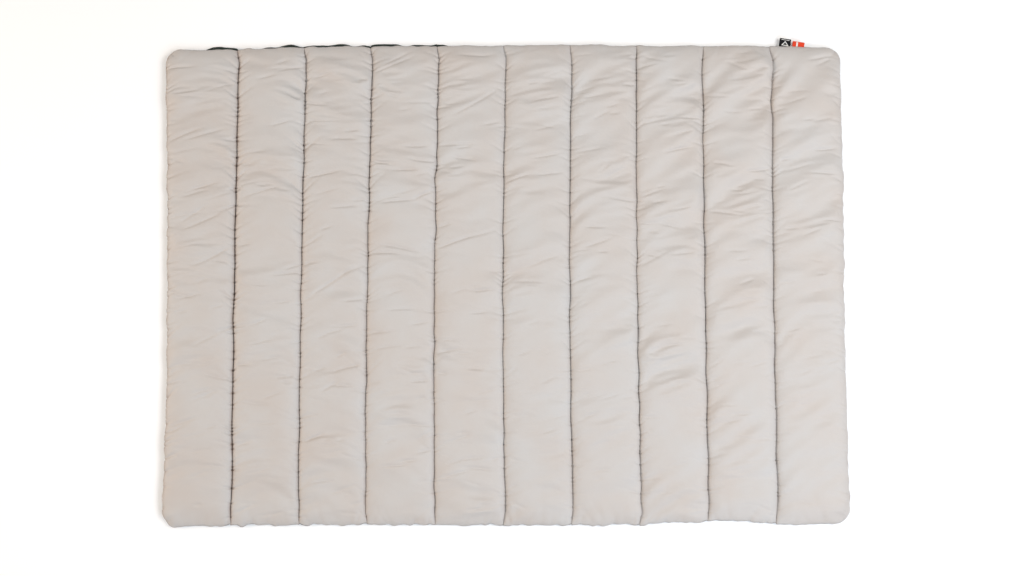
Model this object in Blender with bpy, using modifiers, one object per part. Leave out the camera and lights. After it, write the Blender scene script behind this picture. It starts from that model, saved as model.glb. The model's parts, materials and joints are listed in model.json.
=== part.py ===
"""Camp quilt: two cloths with fibre fill between them, sewn through into ten parallel channels.

The quilt lies flat. +Z is up, X runs across the channels and Y along them, and the woven labels
stand out of the rear edge, on +Y. The origin is on the floor, at the middle of the bounding box.
All sizes are in metres. Each channel is one rigid group that folds on the row of stitches that
it shares with its neighbour, and each label flaps on the stitches that close the rear edge.
"""

import math

import bmesh
import bpy

# Driving dimensions of the quilt.
QUILT_LENGTH = 1.98  # X, across the channels
QUILT_WIDTH = 1.40  # Y, along the channels, without the labels
CHANNELS = 10
LOFT = 0.038  # floor to the crown of a channel
SEAM_HEIGHT = 0.012  # floor to the middle of every seam
CORNER_RADIUS = 0.040
END_TAPER = 0.075  # length over which a channel closes down to its end seam
UNDERSIDE_TURN = 0.030  # width over which the back cloth lifts off the floor to a seam
CLOTH = 0.0008
THREAD_RADIUS = 0.0012  # a row of stitches with the cloth that it draws in
GAP = 0.0003  # clearance between sewn pieces
FILL_CLEARANCE = 0.0007  # height left between a cloth's inner side and the fill

# The two labels in the rear edge, each a ribbon folded in half.
LABEL_WIDTH = 0.0345
LABEL_REACH = 0.0295  # how far it stands out of the edge
LABEL_FROM_SEAM = 0.045  # last quilting seam to the label's middle
TAB_WIDTH = 0.036
TAB_REACH = 0.020
LABEL_TO_TAB = 0.0048
RIBBON = 0.0010  # thickness of a folded ribbon
RIBBON_ROUNDING = 0.0003

# How the crowned surfaces are drawn.
CROWN_POWER = 2.6  # 2 is a parabola across the channel, more is flatter on top
TAPER_POWER = 2.2
ACROSS = 6  # strips across one channel
CORNER_STEPS = 3  # facets in a quarter turn of the outline

PITCH = QUILT_LENGTH / CHANNELS
ROOT_CHANNEL = CHANNELS // 2  # the channel that stays down while the others fold
MIDDLE_Y = -LABEL_REACH / 2  # the labels count in the bounding box, so the cloth sits off centre
SEAM_INSET = THREAD_RADIUS + GAP  # seam line to the edge of a cloth
RIM_INSET = 2 * THREAD_RADIUS + GAP  # outer edge of the quilt to the edge of a cloth
RIM_LIFT = GAP / 2 + CLOTH  # height of a cloth's outer side over the seam's middle, at its edge

COLOURS = {
    "face_cloth": (0.70, 0.64, 0.58, 1.0),
    "back_cloth": (0.035, 0.050, 0.040, 1.0),
    "fibre_fill": (0.88, 0.88, 0.86, 1.0),
    "thread": (0.34, 0.27, 0.22, 1.0),
    "label_black": (0.012, 0.012, 0.014, 1.0),
    "label_red": (0.55, 0.030, 0.030, 1.0),
}
ROUGHNESS = {
    "face_cloth": 0.48,
    "back_cloth": 0.62,
    "fibre_fill": 0.95,
    "thread": 0.55,
    "label_black": 0.70,
    "label_red": 0.70,
}


def clear_scene():
    for obj in list(bpy.data.objects):
        bpy.data.objects.remove(obj, do_unlink=True)


def make_material(name):
    material = bpy.data.materials.new(name)
    material.use_nodes = True
    shader = material.node_tree.nodes["Principled BSDF"]
    shader.inputs["Base Color"].default_value = COLOURS[name]
    shader.inputs["Roughness"].default_value = ROUGHNESS[name]
    shader.inputs["Metallic"].default_value = 0.0
    material.diffuse_color = COLOURS[name]
    return material


def add_object(name, data, slot, parent):
    """Puts a finished mesh or curve in the quilt's collection, under its channel or label."""
    obj = bpy.data.objects.new(name, data)
    obj.data.materials.append(materials[slot])
    quilt.objects.link(obj)
    obj.parent = parent
    obj.matrix_parent_inverse = parent.matrix_world.inverted()
    return obj


def add_axis(name, x, y):
    """An empty on a hinge line, which carries all the pieces of one body."""
    empty = bpy.data.objects.new(name, None)
    empty.location = (x, y, SEAM_HEIGHT)
    empty.empty_display_size = PITCH / 4
    quilt.objects.link(empty)
    bpy.context.view_layer.update()
    return empty


def seam_x(number):
    """The X of a quilting seam. Number 0 is the left edge and CHANNELS is the right edge."""
    return -QUILT_LENGTH / 2 + number * PITCH


def corner_turn(radius):
    """A quarter turn as (from_end, pulled_in) points, from the channel's end to its outer side."""
    turns = [math.radians(90 * step / CORNER_STEPS) for step in range(CORNER_STEPS + 1)]
    return [(radius * (1 - math.cos(t)), radius * (1 - math.sin(t))) for t in turns]


def cloth_rows():
    """The distances from a channel's end at which its surface is drawn, from the end inwards."""
    corner = corner_turn(CORNER_RADIUS - RIM_INSET)
    return sorted({from_end for from_end, _ in corner} | {END_TAPER})


def corner_pull(from_end):
    """How far the rounded corner draws the cloth's outer side in, at this distance from the end."""
    corner = corner_turn(CORNER_RADIUS - RIM_INSET)
    for (near, pull_near), (far, pull_far) in zip(corner, corner[1:]):
        if from_end <= far:
            return pull_near + (pull_far - pull_near) * (from_end - near) / (far - near)
    return 0.0


def cloth_span(channel, from_end):
    """The left and right limits of the cloth at this distance from the channel's end.

    An inner channel runs from seam to seam. The outer side of an end channel follows the
    quilt's rounded corner."""
    rim = RIM_INSET + corner_pull(from_end)
    left = seam_x(channel - 1) + (rim if channel == 1 else SEAM_INSET)
    right = seam_x(channel) - (rim if channel == CHANNELS else SEAM_INSET)
    return left, right


def crown(across, from_end):
    """How full the channel is, from 0 at its seams to 1 along its middle."""
    side = 1 - abs(across) ** CROWN_POWER
    end = 1 - max(0.0, 1 - from_end / END_TAPER) ** TAPER_POWER
    return side * end


def face_height(across, from_end, _width):
    """The outer side of the face cloth, over the floor."""
    edge = SEAM_HEIGHT + RIM_LIFT
    return edge + (LOFT - edge) * crown(across, from_end)


def back_height(across, from_end, width):
    """The outer side of the back cloth: on the floor, but turned up to meet the seams."""
    edge = SEAM_HEIGHT - RIM_LIFT
    from_side = (1 - abs(across)) * width / 2
    side_down = min(1.0, from_side / UNDERSIDE_TURN)
    end_down = min(1.0, from_end / UNDERSIDE_TURN)
    return edge * (1 - side_down * end_down)


def grid_points(channel, height_of, skip, along_turn):
    """The points of one crowned surface as rows of (x, y, z), from the front end to the rear.

    The columns stand closest together near the seams, as the sine of even steps does. skip
    leaves out that many rows and columns along each edge. along_turn adds the lines along
    which the back cloth leaves the floor, and draws the flat inside them plainly."""
    ends = cloth_rows()
    if along_turn:
        ends = sorted({*ends, UNDERSIDE_TURN})
    half = QUILT_WIDTH / 2 - RIM_INSET
    stations = [(-half + d, d) for d in ends] + [(half - d, d) for d in reversed(ends)]
    rows = []
    for y, from_end in stations[skip : len(stations) - skip]:
        left, right = cloth_span(channel, from_end)
        width = right - left
        steps = [math.sin(math.pi / 2 * (2 * k / ACROSS - 1)) for k in range(ACROSS + 1)]
        if along_turn:
            flat = 1 - 2 * UNDERSIDE_TURN / width
            steps = sorted({s for s in steps if abs(s) > flat} | {-flat, 0.0, flat})
        row = []
        for across in steps[skip : len(steps) - skip]:
            x = (left + right) / 2 + across * width / 2
            row.append((x, MIDDLE_Y + y, height_of(across, from_end, width)))
        rows.append(row)
    return rows


def grid_surface(rows, under_rows=None):
    """A flat grid whose vertices are moved on to the given rows of points.

    With under_rows the grid is first raised into a slab, whose lower side takes those."""
    surface = bmesh.new()
    across, along = len(rows[0]) - 1, len(rows) - 1
    bmesh.ops.create_grid(surface, x_segments=across, y_segments=along, size=1.0)
    if under_rows:
        raised = bmesh.ops.extrude_face_region(surface, geom=surface.faces[:])
        lifted = [part for part in raised["geom"] if isinstance(part, bmesh.types.BMVert)]
        bmesh.ops.translate(surface, vec=(0, 0, 1), verts=lifted)
    for vertex in surface.verts:
        column = round((vertex.co.x + 1) / 2 * across)
        row = round((vertex.co.y + 1) / 2 * along)
        side = under_rows if under_rows and vertex.co.z < 0.5 else rows
        vertex.co = side[row][column]
    bmesh.ops.recalc_face_normals(surface, faces=surface.faces)
    return surface


def to_mesh(name, surface):
    mesh = bpy.data.meshes.new(name)
    surface.to_mesh(mesh)
    surface.free()
    return mesh


def add_cloth(name, slot, parent, rows, outside_up):
    """One channel's cloth: a crowned open surface, thickened inwards."""
    surface = grid_surface(rows)
    if (surface.faces[0].normal.z > 0) != outside_up:
        bmesh.ops.reverse_faces(surface, faces=surface.faces)
    obj = add_object(name, to_mesh(name, surface), slot, parent)
    obj.data.shade_smooth()
    thicken = obj.modifiers.new("cloth thickness", "SOLIDIFY")
    thicken.thickness = CLOTH
    thicken.offset = -1.0
    return obj


def add_fill(channel, parent):
    """The fibre in one channel: the room between the two cloths, less its clearance."""
    slope = (LOFT - SEAM_HEIGHT) * CROWN_POWER / (PITCH / 2)
    drop = CLOTH * math.sqrt(1 + slope * slope) + FILL_CLEARANCE

    def top(across, from_end, width):
        return face_height(across, from_end, width) - drop

    def bottom(across, from_end, width):
        return back_height(across, from_end, width) + drop

    top_rows = grid_points(channel, top, 1, False)
    bottom_rows = grid_points(channel, bottom, 1, False)
    surface = grid_surface(top_rows, bottom_rows)
    name = f"fill_pad_{channel:02d}"
    return add_object(name, to_mesh(name, surface), "fibre_fill", parent)


def add_thread(name, parent, points):
    """A row of stitches, drawn as a cord along the given (x, y) points at seam height."""
    curve = bpy.data.curves.new(name, "CURVE")
    curve.dimensions = "3D"
    curve.bevel_depth = THREAD_RADIUS
    curve.bevel_resolution = 2
    curve.use_fill_caps = True
    spline = curve.splines.new("POLY")
    spline.points.add(len(points) - 1)
    for point, (x, y) in zip(spline.points, points):
        point.co = (x, MIDDLE_Y + y, SEAM_HEIGHT, 1.0)
    return add_object(name, curve, "thread", parent)


def closing_path(channel):
    """The (x, y) points of an end channel's edge seam: along one end, round both corners, back."""
    outward = -1 if channel == 1 else 1
    seam = seam_x(1) - SEAM_INSET if channel == 1 else seam_x(CHANNELS - 1) + SEAM_INSET
    radius = CORNER_RADIUS - THREAD_RADIUS
    centre_x = outward * (QUILT_LENGTH / 2 - CORNER_RADIUS)
    centre_y = QUILT_WIDTH / 2 - CORNER_RADIUS
    rear = []
    for from_end, pulled_in in corner_turn(radius):
        x = centre_x + outward * (radius - pulled_in)
        rear.append((x, centre_y + radius - from_end))
    front = [(x, -y) for x, y in reversed(rear)]
    edge = QUILT_WIDTH / 2 - THREAD_RADIUS
    return [(seam, edge)] + rear + front + [(seam, -edge)]


def add_closing_threads(channel, parent):
    """The edge seam of one channel: a cord at each end, or one round three sides."""
    if channel in (1, CHANNELS):
        add_thread(f"closing_thread_{channel:02d}", parent, closing_path(channel))
        return
    left, right = seam_x(channel - 1) + SEAM_INSET, seam_x(channel) - SEAM_INSET
    edge = QUILT_WIDTH / 2 - THREAD_RADIUS
    for side, y in (("front", -edge), ("rear", edge)):
        add_thread(f"closing_thread_{side}_{channel:02d}", parent, [(left, y), (right, y)])


def add_channel(channel):
    """One channel with its two cloths, its fill and its share of the edge seam."""
    hinge = seam_x(channel - 1) if channel > ROOT_CHANNEL else seam_x(channel)
    parent = add_axis(f"channel_{channel:02d}", hinge, MIDDLE_Y)
    face_rows = grid_points(channel, face_height, 0, False)
    back_rows = grid_points(channel, back_height, 0, True)
    add_cloth(f"face_panel_{channel:02d}", "face_cloth", parent, face_rows, True)
    add_cloth(f"back_panel_{channel:02d}", "back_cloth", parent, back_rows, False)
    add_fill(channel, parent)
    add_closing_threads(channel, parent)
    if channel < CHANNELS:
        half = QUILT_WIDTH / 2 - RIM_INSET
        x = seam_x(channel)
        add_thread(f"quilting_thread_{channel:02d}", parent, [(x, -half), (x, half)])


def add_ribbon(name, slot, middle_x, width, reach):
    """A folded ribbon that stands out of the rear edge and flaps on its seam."""
    edge = QUILT_WIDTH / 2
    parent = add_axis(f"{name}_flap", middle_x, MIDDLE_Y + edge - THREAD_RADIUS)
    block = bmesh.new()
    bmesh.ops.create_cube(block, size=1.0)
    length = reach - GAP
    bmesh.ops.scale(block, vec=(width, length, RIBBON), verts=block.verts)
    place = (middle_x, MIDDLE_Y + edge + GAP + length / 2, SEAM_HEIGHT)
    bmesh.ops.translate(block, vec=place, verts=block.verts)
    obj = add_object(name, to_mesh(name, block), slot, parent)
    rounding = obj.modifiers.new("soft edges", "BEVEL")
    rounding.width = RIBBON_ROUNDING
    rounding.segments = 1


clear_scene()
quilt = bpy.data.collections.new("camp_quilt")
bpy.context.scene.collection.children.link(quilt)
materials = {slot: make_material(slot) for slot in COLOURS}

for number in range(1, CHANNELS + 1):
    add_channel(number)

label_x = seam_x(CHANNELS - 1) + LABEL_FROM_SEAM
tab_x = label_x + LABEL_WIDTH / 2 + LABEL_TO_TAB + TAB_WIDTH / 2
add_ribbon("woven_label", "label_black", label_x, LABEL_WIDTH, LABEL_REACH)
add_ribbon("side_tab", "label_red", tab_x, TAB_WIDTH, TAB_REACH)
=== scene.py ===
import json
import math

import bmesh
import bpy
import numpy as np
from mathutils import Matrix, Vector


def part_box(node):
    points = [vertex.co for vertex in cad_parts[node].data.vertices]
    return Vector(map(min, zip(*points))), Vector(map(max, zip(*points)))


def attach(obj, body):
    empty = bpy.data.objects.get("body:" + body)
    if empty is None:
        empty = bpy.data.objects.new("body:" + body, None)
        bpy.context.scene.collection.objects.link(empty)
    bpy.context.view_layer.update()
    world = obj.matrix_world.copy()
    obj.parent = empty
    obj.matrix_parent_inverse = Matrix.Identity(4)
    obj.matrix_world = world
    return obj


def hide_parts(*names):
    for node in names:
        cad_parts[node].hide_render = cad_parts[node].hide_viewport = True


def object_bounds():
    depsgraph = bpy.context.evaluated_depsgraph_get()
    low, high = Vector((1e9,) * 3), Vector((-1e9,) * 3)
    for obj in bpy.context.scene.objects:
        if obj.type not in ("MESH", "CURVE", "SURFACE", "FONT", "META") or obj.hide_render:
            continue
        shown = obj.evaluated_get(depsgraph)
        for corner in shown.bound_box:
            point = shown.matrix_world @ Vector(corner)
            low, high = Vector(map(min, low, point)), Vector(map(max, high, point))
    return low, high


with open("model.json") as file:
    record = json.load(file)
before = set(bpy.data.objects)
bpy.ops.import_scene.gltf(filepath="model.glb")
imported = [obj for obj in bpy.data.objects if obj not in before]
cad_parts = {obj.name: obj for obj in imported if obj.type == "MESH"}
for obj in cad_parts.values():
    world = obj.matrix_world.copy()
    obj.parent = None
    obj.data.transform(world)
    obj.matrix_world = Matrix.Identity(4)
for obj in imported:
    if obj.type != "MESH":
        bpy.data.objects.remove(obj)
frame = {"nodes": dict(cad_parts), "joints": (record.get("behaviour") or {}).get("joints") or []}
cad_low, cad_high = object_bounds()

# --- Pattern of the sewn lines -------------------------------------------------------------
# The quilt is two rectangles of cloth with fibre between them, closed all round and sewn
# through along straight parallel rows. Every cloth below is laid out on these lines.

joints = {joint["name"]: joint for joint in frame["joints"]}
CHANNELS = sum(name.startswith("face_panel_") for name in frame["nodes"])
rim_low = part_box("closing_thread_01")[0]
rim_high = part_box(f"closing_thread_{CHANNELS:02d}")[1]
SEAM_Z = joints["fold_seam_01"]["pos_m"][2]
CROWN_Z = cad_high.z
MIDDLE_Y = (rim_low.y + rim_high.y) / 2
HALF_WIDTH = (rim_high.y - rim_low.y) / 2
HALF_LENGTH = rim_high.x
CORNER_RADIUS = 0.040
SEAM_CROWDING = 0.35
seam_lines = np.array(
    [-HALF_LENGTH]
    + [joints[f"fold_seam_{k:02d}"]["pos_m"][0] for k in range(1, CHANNELS)]
    + [HALF_LENGTH]
)


class Pattern:
    """The laid-out points of all channels, as arrays of (channel, row, column).

    Columns run from seam to seam, closer together near the seams: a share t of the way is put
    at t - c sin(2 pi t) / (2 pi), where c is the crowding. Rows run evenly from the front edge
    to the rear. Near the quilt's corners a square of the pattern is mapped on to a quarter
    disc: a point keeps the larger of its two distances as its radius and its direction as its
    angle."""

    def __init__(self, across, along):
        share = np.linspace(0, 1, across + 1)
        share = share - SEAM_CROWDING * np.sin(2 * math.pi * share) / (2 * math.pi)
        self.share = share
        self.rows = np.linspace(-HALF_WIDTH, HALF_WIDTH, along + 1)
        self.x, self.y = self.placed(2 * share - 1)
        self.u = np.broadcast_to(2 * share - 1, self.x.shape)
        self.from_seam = (1 - np.abs(self.u)) * np.diff(seam_lines)[:, None, None] / 2
        self.from_end = np.broadcast_to(HALF_WIDTH - np.abs(self.rows[:, None]), self.x.shape)
        self.weight = np.ones(self.x.shape, np.float32)
        self.weight[:, [0, -1], :] = 0
        self.weight[:, :, [0, -1]] = 0

    def placed(self, sideways):
        """x and y of the points whose place between their seams is sideways, from -1 to 1."""
        middles = (seam_lines[1:] + seam_lines[:-1])[:, None, None] / 2
        x = middles + np.diff(seam_lines)[:, None, None] / 2 * sideways
        x = np.repeat(x, len(self.rows), 1)
        y = np.broadcast_to(self.rows[None, :, None], x.shape)
        past_x = np.clip((np.abs(x) - HALF_LENGTH + CORNER_RADIUS) / CORNER_RADIUS, 0, None)
        past_y = np.clip((np.abs(y) - HALF_WIDTH + CORNER_RADIUS) / CORNER_RADIUS, 0, None)
        reach = np.hypot(past_x, past_y) + 1e-12
        shrink = CORNER_RADIUS * (1 - np.maximum(past_x, past_y) / reach)
        shrink = np.where((past_x > 0) & (past_y > 0), shrink, 0)
        return x - np.sign(x) * past_x * shrink, y - np.sign(y) * past_y * shrink


def ramp(distance, over):
    """Rises from 0 to 1 while the distance goes from 0 to over, and stays there."""
    return np.clip(distance / over, 0, 1)


def waves(along, sideways, longest, shortest, lean, count, seed):
    """A sum of plane waves with unit spread. Each has a random phase, a wavelength between the
    two given, and crests square to along, turned by up to lean radians."""
    draw = np.random.default_rng(seed)
    total = np.zeros(np.broadcast(along, sideways).shape)
    for _ in range(count):
        number = 2 * math.pi / draw.uniform(shortest, longest)
        turn = draw.uniform(-lean, lean)
        phase = draw.uniform(0, 2 * math.pi)
        total += np.sin(number * (sideways * math.sin(turn) + along * math.cos(turn)) + phase)
    return total / math.sqrt(count / 2)


# --- Face cloth ----------------------------------------------------------------------------
# A smooth warm beige taffeta, sewn through at each row of stitches. The needle draws the seam
# short, so the cloth has length to spare along it and gathers into puckers that fan out from
# the stitches, and the fibre below pushes each channel up until it leans on its neighbour.

# Roundness is the power of a channel's superellipse. Heights, depths, widths, spacings and reaches
# are in metres, and a lean or slant is a slope.
FACE_THICKNESS = 0.00035
FACE_ROUNDNESS = 3.4
FACE_END_REACH = 0.078
FOLD_ROOM = 0.0035
FOLD_HEIGHT = 0.0018
FOLD_ARCH = 0.034
FOLD_SLANT = 0.45
DRAWN_FOLD_HEIGHT = 0.0024
RIPPLE_HEIGHT = 0.0011
PUCKER_SPACING, PUCKER_LEAN, PUCKER_REACH = 0.025, 0.50, 0.017
PUCKER_WIDTH, PUCKER_DEPTH = 0.0036, 0.0048
CREASE_COUNT, CREASE_WIDTH, CREASE_DEPTH = 360, 0.0032, 0.0030
REAR_GATHER_SPACING, FRONT_GATHER_SPACING = 0.030, 0.019
GATHER_WIDTH, GATHER_DEPTH = 0.0055, 0.0030


def draw_puckers(seed, spacing, lean, reach):
    """The gathered spots along every seam, as rows of (seam, y, depth, lean left, lean right,
    reach). They lie at uneven steps, and most of them fan out alike to both sides."""
    draw = np.random.default_rng(seed)
    spots = []
    for seam in range(CHANNELS + 1):
        y = -HALF_WIDTH + draw.uniform(0.01, spacing)
        while y < HALF_WIDTH:
            right = draw.normal(lean, 0.30)
            left = right if draw.random() < 0.65 else draw.normal(lean, 0.40)
            depth = draw.uniform(0.2, 1.0)
            spots.append((seam, y, depth, left, right, reach * draw.uniform(0.5, 1.6)))
            y += spacing * draw.uniform(0.30, 1.70)
    return spots


def pucker_field(x, y, spots, width):
    """How gathered the cloth is at each place: each spot is a valley between two low ridges. It
    leans away from the seam, widens, and fades over its reach."""
    field = np.zeros(x.shape)
    for seam, at, depth, lean_left, lean_right, reach in spots:
        for channel, lean in ((seam - 1, lean_left), (seam, lean_right)):
            if not 0 <= channel < CHANNELS:
                continue
            away = np.abs(x[channel] - seam_lines[seam])
            off = (y[channel] - at - lean * away) / (width * (1 + away / 0.035))
            valley = (1 - 0.9 * off**2) * np.exp(-(off**2))
            field[channel] += depth * valley * np.exp(-away / reach)
    return field


def draw_gathers(seed, side, spacing, strength):
    """The gathered spots along the rear edge (side 1) or the front edge (side -1), as rows of
    (side, x, depth, lean, reach), at uneven steps."""
    draw = np.random.default_rng(seed)
    spots = []
    x = -HALF_LENGTH + 0.03
    while x < HALF_LENGTH - 0.03:
        depth = strength * draw.uniform(0.2, 1.0)
        spots.append((side, x, depth, draw.normal(0, 0.5), 0.018 * draw.uniform(0.5, 2.0)))
        x += spacing * draw.uniform(0.4, 1.6)
    return spots


def gather_field(x, y, spots, width):
    """How gathered the cloth is beside its two closed ends: each spot is a valley between two
    low ridges that runs in from the edge, widens, and fades over its reach."""
    field = np.zeros(x.shape)
    half = x.shape[1] // 2
    for side, at, depth, lean, reach in spots:
        channel = int(np.searchsorted(seam_lines, at)) - 1
        rows = slice(half, None) if side > 0 else slice(0, half)
        away = HALF_WIDTH - np.abs(y[channel, rows])
        off = (x[channel, rows] - at - lean * away) / (width * (1 + away / 0.05))
        valley = (1 - 0.9 * off**2) * np.exp(-(off**2))
        field[channel, rows] += depth * valley * np.exp(-away / reach)
    return field


def draw_creases(seed, count):
    """Thin creases scattered over the channels, as rows of (channel, x, y, half length, slope,
    bend, depth). Most lie across the channel and climb a little to the right; they are longest
    and deepest towards the rear and the left."""
    draw = np.random.default_rng(seed)
    creases = []
    for _ in range(count):
        channel = draw.integers(CHANNELS)
        x = draw.uniform(seam_lines[channel] + 0.02, seam_lines[channel + 1] - 0.02)
        y = draw.uniform(-HALF_WIDTH, HALF_WIDTH)
        strong = 0.55 + 0.35 * (y > 0) + 0.35 * (x < 0)
        half_length = draw.uniform(0.010, 0.045) * strong
        slope = draw.normal(0.16, 0.22)
        creases.append(
            (channel, x, y, half_length, slope, draw.normal(0, 1.2), draw.uniform(0.3, 1) * strong)
        )
    return creases


def crease_field(x, y, creases, width):
    """How deep the thin creases are at each place: each is a valley along a shallow parabola,
    steeper on its front side, that fades at both ends."""
    field = np.zeros(x.shape)
    for channel, at_x, at_y, half_length, slope, bend, depth in creases:
        run = x[channel] - at_x
        off = (y[channel] - at_y - slope * run - bend * run**2) / width
        off = np.where(off > 0, off / 1.7, off)
        field[channel] += depth * np.exp(-(off**2)) * np.exp(-((run / half_length) ** 4))
    return field


SHEAR_STIFFNESS = 0.15


def link_batches(pattern, shape, grow_across, grow_along, shear):
    """Every thread of the cloth between neighbouring points, in batches that share no point.

    A batch holds the two ends, their rest length, and the share of a correction that each end
    takes. The rest length is that on the given shape, stretched across and along by the given
    factors. The two diagonals stand for the cloth's shear and are softer."""
    whole = slice(None)
    batches = []

    def add(first, second, stiffness, grow):
        ends = ((whole,) + first, (whole,) + second)
        rest = np.linalg.norm(shape[ends[1]] - shape[ends[0]], axis=0)
        rest = rest * (grow[first] + grow[second]) / 2
        held = pattern.weight[first] + pattern.weight[second] + 1e-9
        share_first = stiffness * pattern.weight[first] / held
        share_second = stiffness * pattern.weight[second] / held
        batches.append((*ends, rest.astype(np.float32), share_first, share_second))

    rows, columns = pattern.x.shape[1:]
    grow_both = (grow_across + grow_along) / 2
    for start in (0, 1):
        row_a, row_b = slice(start, rows - 1, 2), slice(start + 1, rows, 2)
        column_a, column_b = slice(start, columns - 1, 2), slice(start + 1, columns, 2)
        add((whole, whole, column_a), (whole, whole, column_b), 1.0, grow_across)
        add((whole, row_a, whole), (whole, row_b, whole), 1.0, grow_along)
        add((whole, row_a, slice(0, -1)), (whole, row_b, slice(1, None)), shear, grow_both)
        add((whole, row_a, slice(1, None)), (whole, row_b, slice(0, -1)), shear, grow_both)
    return batches


def stiffen(points, shape, weight, amounts):
    """Bending: moves each point against the second difference of the second differences of its
    shift from the shape, which smooths sharp creases and leaves wide curves alone."""
    for axis, amount in ((2, amounts[0]), (3, amounts[1])):
        shift = points - shape
        low, mid, high = [[slice(None)] * 4 for _ in range(3)]
        low[axis], mid[axis], high[axis] = slice(0, -2), slice(1, -1), slice(2, None)
        low, mid, high = tuple(low), tuple(mid), tuple(high)
        bend = np.zeros_like(points)
        bend[mid] = shift[low] - 2 * shift[mid] + shift[high]
        bent = bend[low] - 2 * bend[mid] + bend[high]
        points[mid] -= amount * weight[mid[1:]] * bent


def outward(points):
    """Unit normals of the grid, from the cross product of its central differences."""
    rise = np.gradient(points, axis=2)
    run = np.gradient(points, axis=3)
    normal = np.cross(run, rise, axis=0)
    return normal / (np.linalg.norm(normal, axis=0) + 1e-12)


def settle(points, shape, weight, batches, hold, bound, steps, passes, bending):
    """Cloth simulation on the grid. At each step every point keeps most of its speed and is
    drawn a little towards the fibre's shape, then the threads pull their ends to the rest
    length, the cloth unbends, and bound keeps it inside its room."""
    before = points.copy()
    for _ in range(steps):
        speed = (points - before) * 0.85
        before = points.copy()
        points = points + (speed + hold * (shape - points)) * weight
        for _ in range(passes):
            for first, second, rest, share_first, share_second in batches:
                gap = points[second] - points[first]
                length = np.sqrt(gap[0] ** 2 + gap[1] ** 2 + gap[2] ** 2)
                pull = (length - rest) / length
                points[first] += gap * (pull * share_first)
                points[second] -= gap * (pull * share_second)
        stiffen(points, shape, weight, bending)
        bound(points)
    return points


def refine(points, pattern):
    """The same cloth on a pattern with twice the rows, each new row midway between two."""
    finer = np.zeros((3,) + pattern.x.shape, np.float32)
    finer[:, :, ::2] = points
    finer[:, :, 1::2] = (points[:, :, 1:] + points[:, :, :-1]) / 2
    return finer


# Each edge as (place along it, shift) in metres: the rear and front edges are drawn in by the
# shift, and the two side edges are let out by it.
REAR_LINE = (
    (-0.93, 0.004), (-0.80, 0.003), (-0.60, -0.005), (-0.40, -0.007), (0.00, -0.009),
    (0.20, -0.012), (0.45, -0.008), (0.80, -0.008), (0.93, -0.004),
)
FRONT_LINE = (
    (-0.93, -0.008), (-0.75, -0.004), (-0.40, -0.002), (0.00, -0.004), (0.40, -0.003),
    (0.50, 0.004), (0.70, 0.010), (0.77, -0.001), (0.93, -0.001),
)
LEFT_LINE = ((-0.62, 0.000), (-0.31, -0.006), (0.10, 0.000), (0.31, 0.004), (0.62, 0.014))
RIGHT_LINE = ((-0.62, 0.0165), (-0.15, 0.011), (0.30, 0.0145), (0.62, 0.011))
CAUGHT_SEAM = 3
NOTCH = 0.004
DEEP_NOTCH = 0.011
NOTCH_WIDTH = 0.007
SWELL = 0.0016
CRINKLE = 0.0008


def along_line(line, place):
    """How far an edge is shifted at each place: straight between the given points."""
    places, shifts = zip(*line)
    return np.interp(place, places, shifts)


def sewn_edges(points, pattern):
    """Draws the outline off its rectangle. The rear and front edges are drawn in by uneven
    amounts, with a sharp notch at each row of stitches in the rear edge and a fine crinkle, and
    the two side edges bow. Each shift fades into the cloth, the sharpest the fastest."""
    x, y = pattern.x, pattern.y
    clear = ramp(HALF_LENGTH - np.abs(x) - 0.02, 0.03)
    fast = np.exp(-pattern.from_end / 0.012) * clear
    slow = np.exp(-((pattern.from_end / 0.10) ** 2))
    notched = np.zeros(x.shape)
    for seam in range(1, CHANNELS):
        depth = DEEP_NOTCH if seam == CAUGHT_SEAM else NOTCH
        notched += depth * np.exp(-np.abs(x - seam_lines[seam]) / NOTCH_WIDTH)
    swell = SWELL * waves(x, 0 * x, 0.200, 0.060, 0, 12, 71)
    crinkle = CRINKLE * waves(x, 0 * x, 0.050, 0.018, 0, 16, 72)
    rear = (along_line(REAR_LINE, x) + 0.7 * swell) * slow + (notched + 0.6 * crinkle) * fast
    front = (along_line(FRONT_LINE, x) + swell) * slow + 1.5 * crinkle * fast
    points[1] -= np.sign(y) * np.where(y > 0, rear, front)
    outermost = np.clip(1 - (HALF_LENGTH - np.abs(x)) / 0.18, 0, 1) ** 1.5
    side_bow = np.where(x > 0, along_line(RIGHT_LINE, y), along_line(LEFT_LINE, y))
    side_bow = side_bow + 0.0012 * waves(y, 0 * y, 0.25, 0.04, 0, 9, 75)
    points[0] += np.sign(x) * side_bow * outermost


HALF_PITCH = 0.099


def section(share, power):
    """A channel's cross-section as a superellipse. Its points (sideways from -1 to 1, height
    from 0 to 1) stand at the given shares of its arc length."""
    angle = np.linspace(math.pi, 0, 4001)
    sideways = np.sign(np.cos(angle)) * np.abs(np.cos(angle)) ** (2 / power)
    height = np.sin(angle) ** (2 / power)
    steps = np.hypot(np.diff(sideways) * HALF_PITCH, np.diff(height) * (CROWN_Z - SEAM_Z))
    length = np.concatenate([[0], np.cumsum(steps)])
    at = share * length[-1]
    return np.interp(at, length, sideways), np.interp(at, length, height)


def end_slope(pattern, reach, power):
    """How full a channel is near its two ends: a quarter superellipse over the reach."""
    short = np.clip(1 - pattern.from_end / reach, 0, 1)
    return (1 - short**power) ** (1 / power)


# For each seam, how far in x its line leans near the front end, in the middle and near the rear.
SEAM_LEAN = (
    (0, 0, 0),
    (0.003, 0.002, 0.006),
    (-0.001, 0.000, 0.008),
    (-0.005, -0.004, 0.007),
    (-0.002, -0.005, 0.006),
    (0.005, -0.002, 0.007),
    (0.004, -0.004, 0.004),
    (0.005, -0.004, -0.002),
    (0.002, -0.003, -0.004),
    (0.004, 0.001, 0.005),
    (0, 0, 0),
)


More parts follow.
